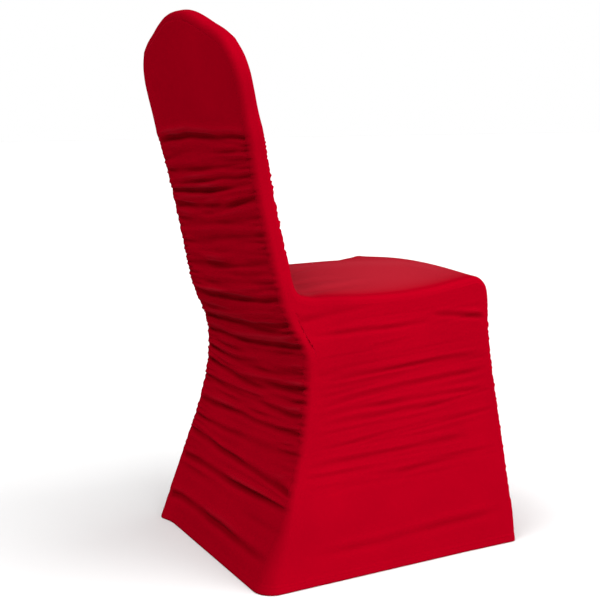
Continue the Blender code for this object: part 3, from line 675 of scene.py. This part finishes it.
class Ruching:
    """The folds of one stretch of a panel, and the lines that lie along them."""

    def __init__(self, folds, small, top, bottom, seed):
        self.folds = folds
        self.top = top
        self.bottom = bottom
        self.seed = seed
        self.small = drawn(small)
        rows = folds[::-1]
        level = [bottom, rows[0].middle - FOLD_REACH, rows[-1].middle + FOLD_REACH, top]
        level[1] = max(level[1], bottom + LEVEL_GAP)
        level[2] = min(level[2], top - LEVEL_GAP)
        middle = [row.middle for row in rows]
        slope = [(row.right - row.left) / 2 for row in rows]
        sag = [(row.right + row.left) / 2 - row.middle for row in rows]
        self.at = level[:2] + middle + level[2:]
        self.slope = [0.0, 0.0] + slope + [0.0, 0.0]
        self.sag = [0.0, 0.0] + sag + [0.0, 0.0]

    def height(self, row, across):
        """A row's height at a place across the panel, from -1 at the left to 1 at the right."""
        slope = np.interp(row, self.at, self.slope)
        sag = np.interp(row, self.at, self.sag)
        return np.clip(row + slope * across + sag * across * across, self.bottom, self.top)

    def out(self, row, across):
        """How far the cloth stands out of the panel's plain surface."""
        x = across * HALF_WIDTH
        total = 0.0
        for i, fold in enumerate(self.folds):
            distance = row - fold.middle - WAVER_UP * waver(self.seed + i, x)
            edge_share = np.where(across > 0, fold.at_right, fold.at_left)
            strength = 1 + (edge_share - 1) * np.abs(across) ** EDGE_POWER
            strength = strength * (1 + WAVER_DEEP * waver(self.seed + DEPTH_SEED + i, x))
            total = total + CREASE_DEPTH * fold.depth * strength * crease(distance, fold.width)
        at_seam = ease(*EDGE_FADE, np.abs(across))
        small = small_creases(self.small, x, row) * (1.0 - at_seam * (1 - SEAM_SHARE))
        return total * (1.0 - at_seam * (1 - FOLD_SEAM_SHARE)) + small

    def ripple(self, edge):
        """The seam's own small bumps at one edge, by height."""
        row = np.arange(self.bottom, self.top, SEAM_ROW_STEP)
        bumps = self.out(row, np.full(row.shape, float(edge)))
        height = self.height(row, np.full(row.shape, float(edge)))
        return lambda z: np.interp(z, height, bumps, left=0.0, right=0.0)


BACK = Ruching(BACK_FOLDS, BACK_SMALL, SHOULDER_Z, HEM_Z, seed=10)
INNER = Ruching(INNER_FOLDS, INNER_SMALL, SHOULDER_Z, FOOT_Z, seed=30)
SKIRT = Ruching(SKIRT_FOLDS, SKIRT_SMALL, CORNER_END_Z, HEM_Z, seed=50)


def no_ripple(z):
    """The seam beside the seat, which has no bumps of its own."""
    return 0.0


def seam_dip(distance):
    """How far a seam draws the cloth in at a distance from it."""
    return -SEAM_DIP * np.exp(-((distance / SEAM_DIP_WIDTH) ** 2))


def hem_swell(z):
    """The turned-up hem: a little thicker, with its stitches sunk into it."""
    swell = HEM_THICK * (1 - ease(HEM_HEIGHT - HEM_TURN, HEM_HEIGHT + HEM_TURN, z))
    return swell - HEM_STITCH * np.exp(-(((z - HEM_HEIGHT + HEM_STITCH_DROP) / HEM_STITCH_WIDTH) ** 2))


def dome(across):
    """A panel's padded form across its width: 1 in the middle, level at the edges."""
    return (1 - across * across) ** DOME_POWER


def arch(z, across):
    """How far a row of the head rises towards the crown."""
    rise = crown_z(np.abs(across) * SHOULDER_X) - SHOULDER_Z
    return rise * ease(ARCH_FROM, SHOULDER_Z, z)


def columns():
    """Places across a panel from -1 to 1, close together at its seams."""
    edge = [1 - step / HALF_WIDTH for step in EDGE_STEPS]
    count = round(edge[-1] * HALF_WIDTH / COLUMN_STEP)
    half = list(np.linspace(0.0, edge[-1], count + 1)[1:]) + edge[-2::-1]
    return np.array([-share for share in half[::-1]] + [0.0] + half)


def spaced(first, last, step):
    """Places from first to last, about a step apart, without the first."""
    count = max(1, round(abs(last - first) / step))
    return list(np.linspace(first, last, count + 1)[1:])


def hem_rows(rows):
    """Rows down to the hem, with a few more along its stitches."""
    stitched = [HEM_HEIGHT + step for step in HEM_ROWS]
    plain = [row for row in rows if row < HEM_HEIGHT + HEM_SPAN[0] or row > HEM_HEIGHT + HEM_SPAN[1]]
    return sorted(plain + stitched, reverse=True)


def head_rows(low):
    """Rows from the shoulder down to low, close together below the plain head."""
    return [SHOULDER_Z] + spaced(SHOULDER_Z, FINE_FROM_Z, HEAD_ROW_STEP) + spaced(FINE_FROM_Z, low, ROW_STEP)


def sewn(across):
    """The dip beside a panel's two seams."""
    return seam_dip((1 - np.abs(across)) * HALF_WIDTH)


def grid(x, y, z, folded):
    """Rows and columns of points: three tables of places, and one of how far the folds stand out there."""
    return np.stack(np.broadcast_arrays(x, y, z, folded), axis=-1)


def seat_out(x, y):
    """How far the seat's soft folds push the cloth out."""
    total = 0.0
    for i, fold in enumerate(SEAT_FOLDS):
        share = (fold.back_y - y) / (fold.back_y - fold.front_y)
        fade = ease(*SEAT_FOLD_STARTS, share) * (1 - ease(*SEAT_FOLD_ENDS, share))
        line_x = fold.back_x + share * (fold.front_x - fold.back_x) + SIDE_WAVER * waver(SEAT_SEED + i, y)
        total = total + fold.depth * fade * crease(x - line_x, fold.width)
    return total


def back_rest_grid(rows, ruching, point, bulge, outward):
    """A panel's stretch on the back-rest: point and outward are functions of height."""
    row, across = np.array(rows)[:, None], columns()[None, :]
    flat = ruching.height(row, across)
    z = flat + arch(flat, across)
    folded = ruching.out(row, across)
    out = bulge(row) * dome(across) + folded + sewn(across)
    y, up = point(z) + out * outward(z)
    trim = np.where(row == SHOULDER_Z, SEAM_GAP / 2, 0.0)
    return grid(across * (back_half_width(flat) - SEAM_GAP / 2), y, up - trim, folded)


def backward(z):
    """The direction in Y and Z straight out of the cover's back."""
    return -forward(z)


def back_grid():
    """The back panel, from the crown to the hem."""
    rows = hem_rows(head_rows(HEM_Z))
    points = back_rest_grid(rows, BACK, back_point, back_bulge, backward)
    points[..., 1] += hem_swell(np.array(rows))[:, None]
    points[..., 1] += CORNER_TIP * corner_kick(points[..., 2], (1 - columns()[None, :]) * HALF_WIDTH)
    points[..., 2] = np.maximum(points[..., 2], HEM_Z)
    return points


def seat_grid():
    """The front panel's stretch over the seat, from the foot of the back-rest round the front corner."""
    across = columns()[None, :]
    run = spaced(FOOT_RUN, JOIN_RUN, FOOT_ROW_STEP) + spaced(JOIN_RUN, CORNER_END_RUN, SEAT_ROW_STEP)
    run = np.array(run)[:, None]
    edge_y, edge_z = seat_point(run)
    half = front_seam_x(edge_y, edge_z) - SEAM_GAP / 2
    folded = seat_out(across * HALF_WIDTH, edge_y) * (1 - ease(*EDGE_FADE, np.abs(across)))
    out = seat_bulge(edge_y) * dome(across) + folded + sewn(across)
    y, z = seat_point(run) + out * seat_normal(run)
    # Painted sheen: the seat's share, added to the fold heights for the material's paler, pinker red
    seat_sheen = SEAT_PAINTED_SHEEN * ease(FOOT_RUN, JOIN_RUN, run)
    seat_sheen = seat_sheen * (1 - ease(CORNER_RUN - SEAT_SHEEN_FADE, CORNER_END_RUN, run))
    return grid(across * half, y, z, SEAT_FOLD_SHARE * folded + seat_sheen * (1 - across ** SEAT_SHEEN_POWER))


def skirt_grid():
    """The front panel's stretch down the skirt to the hem."""
    across = columns()[None, :]
    row = np.array(hem_rows(spaced(CORNER_END_Z, HEM_Z, ROW_STEP)))[:, None]
    z = SKIRT.height(row, across)
    half = front_seam_x(skirt_y(z), z) - SEAM_GAP / 2
    folded = SKIRT.out(row, across)
    out = skirt_bulge(row) * dome(across) + folded + sewn(across) + hem_swell(z)
    return grid(across * half, skirt_y(z) - out, z, folded)


def front_grid():
    """The front panel: down the back-rest, over the seat and down to the hem."""
    top = back_rest_grid(head_rows(FOOT_Z), INNER, inner_point, inner_bulge, forward)
    return np.concatenate([top, seat_grid(), skirt_grid()])


def gusset_rim():
    """The seam round the head and down the back-rest, with the way out of it at each point."""
    share = np.linspace(0.0, 1.0, round(SHOULDER_X / RIM_STEP) + 1)
    rows = spaced(SHOULDER_Z, FOOT_Z, RIM_STEP)
    x = np.concatenate([share * SHOULDER_X, back_half_width(np.array(rows))])
    z = np.concatenate([crown_z(share * SHOULDER_X), rows])
    points = np.stack([x, z], axis=1)
    points[0, 0] = CROWN_GAP / 2
    ahead = np.gradient(points, axis=0)
    for _ in range(RIM_SMOOTHING):
        ahead[1:-1] = (ahead[:-2] + 2 * ahead[1:-1] + ahead[2:]) / 4
    normal = np.stack([-ahead[:, 1], ahead[:, 0]], axis=1)
    normal /= np.linalg.norm(normal, axis=1)[:, None]
    normal[0] = (0.0, 1.0)
    straight = (1 - ease(*RIM_TURNS, z))[:, None]
    normal = normal * (1 - straight) + np.array([1.0, 0.0]) * straight
    return points, normal / np.linalg.norm(normal, axis=1)[:, None]


def strip(place, outward, radius, ripple, swell=0.0):
    """A seam's edge of a side panel: from the seam over a soft turn to where the cloth faces sideways.

    place gives the point at a distance out of the seam, and outward is the way out of the cover in Y and Z.
    """
    points = []
    for step in STRIP_STEPS:
        x, y, z = place(SEAM_GAP / 2 + step)
        up = ripple * math.exp(-((step / RIPPLE_WIDTH) ** 2)) + seam_dip(step) + swell
        points.append((x, y + up * outward[0], z + up * outward[1], ripple))
    for turn in np.linspace(0.0, math.pi / 2, TURN_STEPS + 1):
        out, down = radius * math.sin(turn), radius * (1 - math.cos(turn))
        x, y, z = place(EDGE_FLAT + out + swell * math.sin(turn))
        gone = EDGE_FLAT + radius * turn
        bump = ripple * math.exp(-((gone / RIPPLE_WIDTH) ** 2))
        up = bump + seam_dip(gone) + swell * math.cos(turn)
        points.append((x, y + (up - down) * outward[0], z + (up - down) * outward[1], bump))
    return points


def corner_kick(z, gone):
    """The share of the far hem corner's kick at a height and a distance from its seam."""
    low = np.clip(1 - z / CORNER_TIP_Z, 0.0, 1.0)
    return low ** CORNER_TIP_POWER * np.exp(-((gone / CORNER_TIP_WIDTH) ** 2))


def rim_strips(seam, normal, back_ripple, front_ripple):
    """The gusset's two edges at one point of the rim: the back seam's, and the front seam's."""

    def back_place(out):
        x, z = seam + out * normal
        return x, float(back_y(z)), z

    def front_place(out):
        x, z = seam + out * normal
        y, up = inner_point(z)
        return x, y, up

    back = strip(back_place, backward(seam[1]), float(corner_radius(seam[1])), back_ripple(seam[1]))
    front = strip(front_place, forward(seam[1]), FRONT_RADIUS, front_ripple(seam[1]))
    return back, front


def back_strip(z, back_ripple, tip=0.0):
    """The corner beside the back seam, from the seam to the side: tip is how far its hem is kicked back."""

    def place(out):
        return float(back_half_width(z)) + out, float(back_y(z) + tip * corner_kick(z, out)), z

    return strip(place, backward(z), float(corner_radius(z)), back_ripple(z), float(hem_swell(z)))


def front_strip(point, outward, front_ripple):
    """The corner beside the front panel, from its seam to the side."""
    seam_x = float(front_seam_x(*point))

    def place(out):
        return seam_x + out, point[0], point[1]

    return strip(place, outward, FRONT_RADIUS, front_ripple(point[1]), float(hem_swell(point[1])))


def joined(back, front):
    """A row from the back seam's edge over the flat between to the front seam's edge."""
    start, end = np.array(back[-1]), np.array(front[-1])
    flat = [tuple(start + (end - start) * i / FLAT_STEPS) for i in range(1, FLAT_STEPS)]
    return back + flat + front[::-1]


def side_out(folds, small, y, z, share_back, share_down):
    """How far a side's cloth stands out, from its soft folds and its small creases."""
    total = small_creases(small, y, z)
    for i, fold in enumerate(folds):
        share = (fold.back_y - y) / (fold.back_y - fold.front_y)
        fade = ease(*SIDE_FOLD_STARTS, share) * (1 - ease(*SIDE_FOLD_ENDS, share))
        line_z = fold.back_z + share * (fold.front_z - fold.back_z) + SIDE_WAVER * waver(SIDE_SEED + i, y)
        depth = SIDE_CREASE_DEPTH * fold.depth * (1 + WAVER_DEEP * waver(SIDE_DEPTH_SEED + i, y))
        total = total + depth * fade * crease(z - line_z, SIDE_CREASE_WIDTH * fold.width)
    edges = ease(*SIDE_BACK_FADE, share_back) * (1 - ease(*SIDE_FRONT_FADE, share_back))
    return total * (edges * ease(*SIDE_TOP_FADE, share_down))


def gusset_rows(back_ripple, inner_ripple):
    """The gusset: round the head, down the back-rest and over its foot to where the seat starts."""
    rows = [joined(*rim_strips(*place, back_ripple, inner_ripple)) for place in zip(*gusset_rim())]
    count = round(FOOT_LENGTH / FOOT_ROW_STEP)
    for i in range(1, count + 1):
        z = FOOT_Z + (FOOT_END_Z - FOOT_Z) * i / count
        run = FOOT_RUN + FOOT_LENGTH * i / count
        foot = front_strip(seat_point(run), seat_normal(run), no_ripple)
        rows.append(joined(back_strip(z, back_ripple), foot))
    return rows


def front_end(z):
    """A side row's front end in Y and Z, on the seat's corner or the skirt, and the way out of it."""
    if z > FOOT_CORNER_Z:
        run = CORNER_END_RUN - CORNER_LENGTH * (z - FOOT_CORNER_Z) / (FOOT_END_Z - FOOT_CORNER_Z)
        return seat_point(run), seat_normal(run)
    level = HEM_Z + (z - HEM_Z) * (CORNER_END_Z - HEM_Z) / (FOOT_CORNER_Z - HEM_Z)
    return np.array([float(skirt_y(level)), level]), np.array([-1.0, 0.0])


def side_middle(folds, small, rows, top, back_line, front_line):
    """A side's cloth between its corners: an even patch between its four edges, with its folds on it."""
    share = (top[:, 1] - top[0, 1]) / (top[-1, 1] - top[0, 1])
    along = share[None, :, None]
    down = ((rows[0] - np.array(rows)) / (rows[0] - HEM_Z))[:, None, None]
    hem = back_line[-1] + along * (front_line[-1] - back_line[-1])
    level = back_line[:, None] + along * (front_line - back_line)[:, None]
    upright = top[None] * (1 - down) + hem * down
    corners = (top[0] * (1 - along) + top[-1] * along) * (1 - down) + hem * down
    patch = level + upright - corners
    y, z = patch[..., 1], np.maximum(patch[..., 2], HEM_Z)
    folded = side_out(folds, small, y, z, share[None, :], down[..., 0])
    x = side_half_width(y, z) + folded + hem_swell(z)
    # The first row is the top edge itself, so that it meets the gusset and the seat's edge
    x[0], z[0] = top[:, 0], top[:, 2]
    return grid(x, y, z, folded)


def side_grids(folds, small, side):
    """A side panel's gusset, skirt and edge along the seat, made at +X for either side of the cover."""
    back_ripple, inner_ripple, skirt_ripple = BACK.ripple(side), INNER.ripple(side), SKIRT.ripple(side)
    gusset = gusset_rows(back_ripple, inner_ripple)
    runs = [JOIN_RUN] + spaced(JOIN_RUN, CORNER_RUN, SEAT_ROW_STEP)
    seat = [front_strip(seat_point(run), seat_normal(run), no_ripple)[::-1] for run in runs]
    rows = hem_rows([FOOT_END_Z] + spaced(FOOT_END_Z, HEM_Z, ROW_STEP))
    tip = CORNER_TIP if side > 0 else 0.0
    back = np.array([back_strip(z, back_ripple, tip) for z in rows])
    front = np.array([front_strip(*front_end(z), skirt_ripple)[::-1] for z in rows])
    corner = back.shape[1] - 1
    top = np.array(gusset[-1][corner:corner + FLAT_STEPS + 1] + [line[0] for line in seat[1:]])
    middle = side_middle(folds, drawn(small), rows, top, back[:, -1], front[:, 0])
    skirt = np.concatenate([back[:, :-1], middle, front[:, 1:]], axis=1)
    return [np.array(gusset), skirt, np.array(seat)]


def tilted(points):
    """Lowers the seat's front edge towards +X and raises it towards -X."""
    x, y, z = points[..., 0], points[..., 1], points[..., 2]
    points[..., 2] -= SEAT_TILT * x * ease(*TILT_FROM_Y, y) * ease(*TILT_FROM_Z, z)
    return points


def loft(mesh, points):
    """Joins a grid of points into a surface, and keeps how far the folds stand out at each, which sets the
    shade and sheen painted into the red.
    """
    layer = mesh.verts.layers.float.get(FOLD_LAYER) or mesh.verts.layers.float.new(FOLD_LAYER)
    rows = [[mesh.verts.new(point[:3]) for point in line] for line in points]
    for line, places in zip(rows, points):
        for vert, place in zip(line, places):
            vert[layer] = place[3]
    for upper, lower in zip(rows, rows[1:]):
        for i in range(len(upper) - 1):
            mesh.faces.new((upper[i], upper[i + 1], lower[i + 1], lower[i]))


def panel(name, grids, outside, node, material):
    """A sewn panel: its outer surface from grids, thickened inwards to the cloth's thickness."""
    mesh = bmesh.new()
    for points in grids:
        loft(mesh, tilted(points))
    bmesh.ops.remove_doubles(mesh, verts=mesh.verts, dist=WELD)
    bmesh.ops.recalc_face_normals(mesh, faces=mesh.faces)
    # The middle face tells whether they all look inwards
    mesh.faces.ensure_lookup_table()
    if mesh.faces[len(mesh.faces) // 2].normal.dot(outside) < 0:
        bmesh.ops.reverse_faces(mesh, faces=mesh.faces)
    data = bpy.data.meshes.new(name)
    mesh.to_mesh(data)
    mesh.free()
    data.transform(Matrix.Translation((0.0, -BOX_CENTRE_Y, 0.0)))
    data.shade_smooth()
    piece = bpy.data.objects.new(name, data)
    bpy.context.scene.collection.objects.link(piece)
    solid = piece.modifiers.new("cloth", "SOLIDIFY")
    solid.thickness = CLOTH
    solid.offset = -1.0
    data.materials.append(material)
    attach(piece, "root")
    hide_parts(node)
    return piece


def side_panel(name, folds, small, side, node, material):
    """A side panel, mirrored where side is -1."""
    grids = [points * np.array([side, 1.0, 1.0, 1.0]) for points in side_grids(folds, small, side)]
    return panel(name, grids, (side, 0, 0), node, material)


def linear(hex_colour):
    """An sRGB hex colour as Blender's linear red, green, blue and alpha."""
    parts = [int(hex_colour[i:i + 2], 16) / 255 for i in (1, 3, 5)]
    return [part / 12.92 if part <= 0.04045 else ((part + 0.055) / 1.055) ** 2.4 for part in parts] + [1.0]


def add(tree, kind, inputs=None, **settings):
    """Adds a node: settings are its own, and inputs are its sockets' values or outputs to link to them."""
    node = tree.nodes.new(kind)
    for name, value in settings.items():
        setattr(node, name, value)
    for socket, value in (inputs or {}).items():
        if isinstance(value, bpy.types.NodeSocket):
            tree.links.new(value, node.inputs[socket])
        else:
            node.inputs[socket].default_value = value
    return node


def stretch_knit(name, across):
    """Polyester and elastane warp knit, dyed red: across is the axis that its ribs follow one another along.

    The eye sees a matt red without gloss, and fine upright ribs close up. Shade is painted into the red in the
    creases of the folds, and a sheen is painted in as a paler, pinker red over the seat and on the folds'
    ridges. Fibre ends give it a faint bloom at low angles.
    """
    material = bpy.data.materials.new(name)
    material.use_nodes = True
    tree = material.node_tree
    shader = tree.nodes["Principled BSDF"]
    place = add(tree, "ShaderNodeTexCoord").outputs["Object"]
    ribs, rows = [
        add(tree, "ShaderNodeTexWave",
            {"Vector": place, "Scale": WAVE_SCALE / spacing, "Distortion": THREAD_WAVER},
            bands_direction=axis, wave_profile="SIN").outputs["Fac"]
        for axis, spacing in ((across, RIB_SPACING), ("Z", LOOP_SPACING))
    ]
    fuzz = add(tree, "ShaderNodeTexNoise",
               {"Vector": place, "Scale": 1 / FUZZ_SIZE, "Detail": FUZZ_DETAIL}).outputs["Fac"]
    loops = add(tree, "ShaderNodeMath", {0: ribs, 1: rows}, operation="ADD").outputs[0]
    cloth = add(tree, "ShaderNodeMath", {0: loops, 1: fuzz}, operation="ADD").outputs[0]
    bump = add(tree, "ShaderNodeBump",
               {"Height": cloth, "Strength": LOOP_STRENGTH, "Distance": LOOP_RELIEF}).outputs["Normal"]
    uneven = add(tree, "ShaderNodeTexNoise",
                 {"Vector": place, "Scale": 1 / DYE_PATCH, "Detail": DYE_DETAIL}).outputs["Fac"]
    dye = add(tree, "ShaderNodeMapRange",
              {"Value": uneven, "From Min": DYE_SPREAD[0], "From Max": DYE_SPREAD[1]}).outputs["Result"]
    plain = add(tree, "ShaderNodeMix", {"Factor": dye, 6: linear(DYE_DEEP), 7: linear(DYE_PLAIN)},
                data_type="RGBA").outputs[2]
    folded = add(tree, "ShaderNodeAttribute", attribute_name=FOLD_LAYER).outputs["Fac"]
    # Painted shade: the red darkens in the creases of the folds
    crease_shade = add(tree, "ShaderNodeMapRange",
                   {"Value": folded, "From Min": CREASE_SHADE_SPAN[0], "From Max": CREASE_SHADE_SPAN[1]},
                   interpolation_type="SMOOTHSTEP").outputs["Result"]
    # Painted sheen: the red pales and turns pinker on the ridges and over the seat
    painted_sheen = add(tree, "ShaderNodeMapRange",
                    {"Value": folded, "From Min": PAINTED_SHEEN_SPAN[0], "From Max": PAINTED_SHEEN_SPAN[1]},
                    ).outputs["Result"]
    pale = add(tree, "ShaderNodeMix", {"Factor": painted_sheen, 6: plain, 7: linear(PAINTED_SHEEN_COLOUR)},
               data_type="RGBA").outputs[2]
    colour = add(tree, "ShaderNodeMix", {"Factor": crease_shade, 6: pale, 7: linear(CREASE_SHADE_COLOUR)},
                 data_type="RGBA").outputs[2]
    facing = add(tree, "ShaderNodeLayerWeight").outputs["Facing"]
    starts = add(tree, "ShaderNodeMapRange",
                 {"Value": facing, "From Min": BLOOM_STARTS[0], "From Max": BLOOM_STARTS[1],
                  "To Max": BLOOM}).outputs["Result"]
    ends = add(tree, "ShaderNodeMapRange",
               {"Value": facing, "From Min": BLOOM_ENDS[0], "From Max": BLOOM_ENDS[1],
                "To Min": 1.0, "To Max": 0.0}).outputs["Result"]
    bloom = add(tree, "ShaderNodeMath", {0: starts, 1: ends}, operation="MULTIPLY").outputs[0]
    tree.links.new(colour, shader.inputs["Base Color"])
    tree.links.new(bloom, shader.inputs["Sheen Weight"])
    tree.links.new(bump, shader.inputs["Normal"])
    shader.inputs["Specular IOR Level"].default_value = 0.0
    shader.inputs["Roughness"].default_value = KNIT_ROUGHNESS
    shader.inputs["Sheen Roughness"].default_value = BLOOM_ROUGHNESS
    shader.inputs["Sheen Tint"].default_value = linear(BLOOM_COLOUR)
    return material


def light(name, way, width, strength):
    """A wide, soft light from far away, which leaves the floor even."""
    lamp = bpy.data.lights.new(name, "SUN")
    lamp.angle = width
    lamp.energy = strength
    stand = bpy.data.objects.new(name, lamp)
    stand.location = Vector(way) * LIGHT_DISTANCE
    stand.rotation_mode = "QUATERNION"
    stand.rotation_quaternion = Vector(way).to_track_quat("Z", "Y")
    bpy.context.scene.collection.objects.link(stand)


def pale_paper():
    """Matt studio paper: the eye sees an even pale ground that takes soft shadows and has no gloss."""
    material = bpy.data.materials.new("pale_paper")
    material.use_nodes = True
    shader = material.node_tree.nodes["Principled BSDF"]
    shader.inputs["Base Color"].default_value = linear(PAPER_COLOUR)
    shader.inputs["Roughness"].default_value = PAPER_ROUGHNESS
    return material


def pale_floor():
    """The floor that the cover stands on."""
    mesh = bmesh.new()
    bmesh.ops.create_grid(mesh, x_segments=1, y_segments=1, size=FLOOR_SIZE / 2)
    data = bpy.data.meshes.new("floor")
    mesh.to_mesh(data)
    mesh.free()
    floor = bpy.data.objects.new("floor", data)
    bpy.context.scene.collection.objects.link(floor)
    data.materials.append(pale_paper())


def pale_surround():
    """A surround that is white at the horizon and dimmer overhead."""
    world = bpy.data.worlds.new("pale_surround")
    world.use_nodes = True
    tree = world.node_tree
    way = add(tree, "ShaderNodeTexCoord").outputs["Generated"]
    rise = add(tree, "ShaderNodeSeparateXYZ", {"Vector": way}).outputs["Z"]
    strength = add(tree, "ShaderNodeMapRange",
                   {"Value": rise, "From Min": SURROUND_DIMS[0], "From Max": SURROUND_DIMS[1],
                    "To Min": SURROUND_LOW, "To Max": SURROUND_HIGH},
                   interpolation_type="SMOOTHSTEP").outputs["Result"]
    tree.links.new(strength, tree.nodes["Background"].inputs["Strength"])
    tree.nodes["Background"].inputs["Color"].default_value = linear(SURROUND_COLOUR)
    bpy.context.scene.world = world


def studio():
    """A pale floor and surround, and soft light from the side, from behind the back and from above."""
    pale_floor()
    pale_surround()
    for row in LIGHTS:
        light(*row)
    bpy.context.scene.view_settings.view_transform = "Standard"


def photograph_camera():
    """The camera at the photograph's viewing angle."""
    lens = bpy.data.cameras.new("photograph")
    lens.lens = CAMERA_LENS
    lens.sensor_width = CAMERA_SENSOR
    camera = bpy.data.objects.new("photograph", lens)
    camera.location = CAMERA_PLACE
    level = math.cos(CAMERA_RISE)
    look = Vector((-math.sin(CAMERA_TURN) * level, math.cos(CAMERA_TURN) * level, -math.sin(CAMERA_RISE)))
    camera.rotation_mode = "QUATERNION"
    camera.rotation_quaternion = look.to_track_quat("-Z", "Y") @ Quaternion((0.0, 0.0, 1.0), CAMERA_ROLL)
    bpy.context.scene.collection.objects.link(camera)
    bpy.context.scene.camera = camera


upright_ribs = stretch_knit("red_stretch_knit_across_x", "X")
side_ribs = stretch_knit("red_stretch_knit_across_y", "Y")
back = panel("back_cloth", [back_grid()], (0, 1, 0), "back_panel", upright_ribs)
front = panel("front_cloth", [front_grid()], (0, -1, 1), "front_panel", upright_ribs)
right = side_panel("side_cloth_right", RIGHT_FOLDS, RIGHT_SMALL, 1, "side_panel_right", side_ribs)
left = side_panel("side_cloth_left", LEFT_FOLDS, LEFT_SMALL, -1, "side_panel_left", side_ribs)

photograph_camera()
studio()
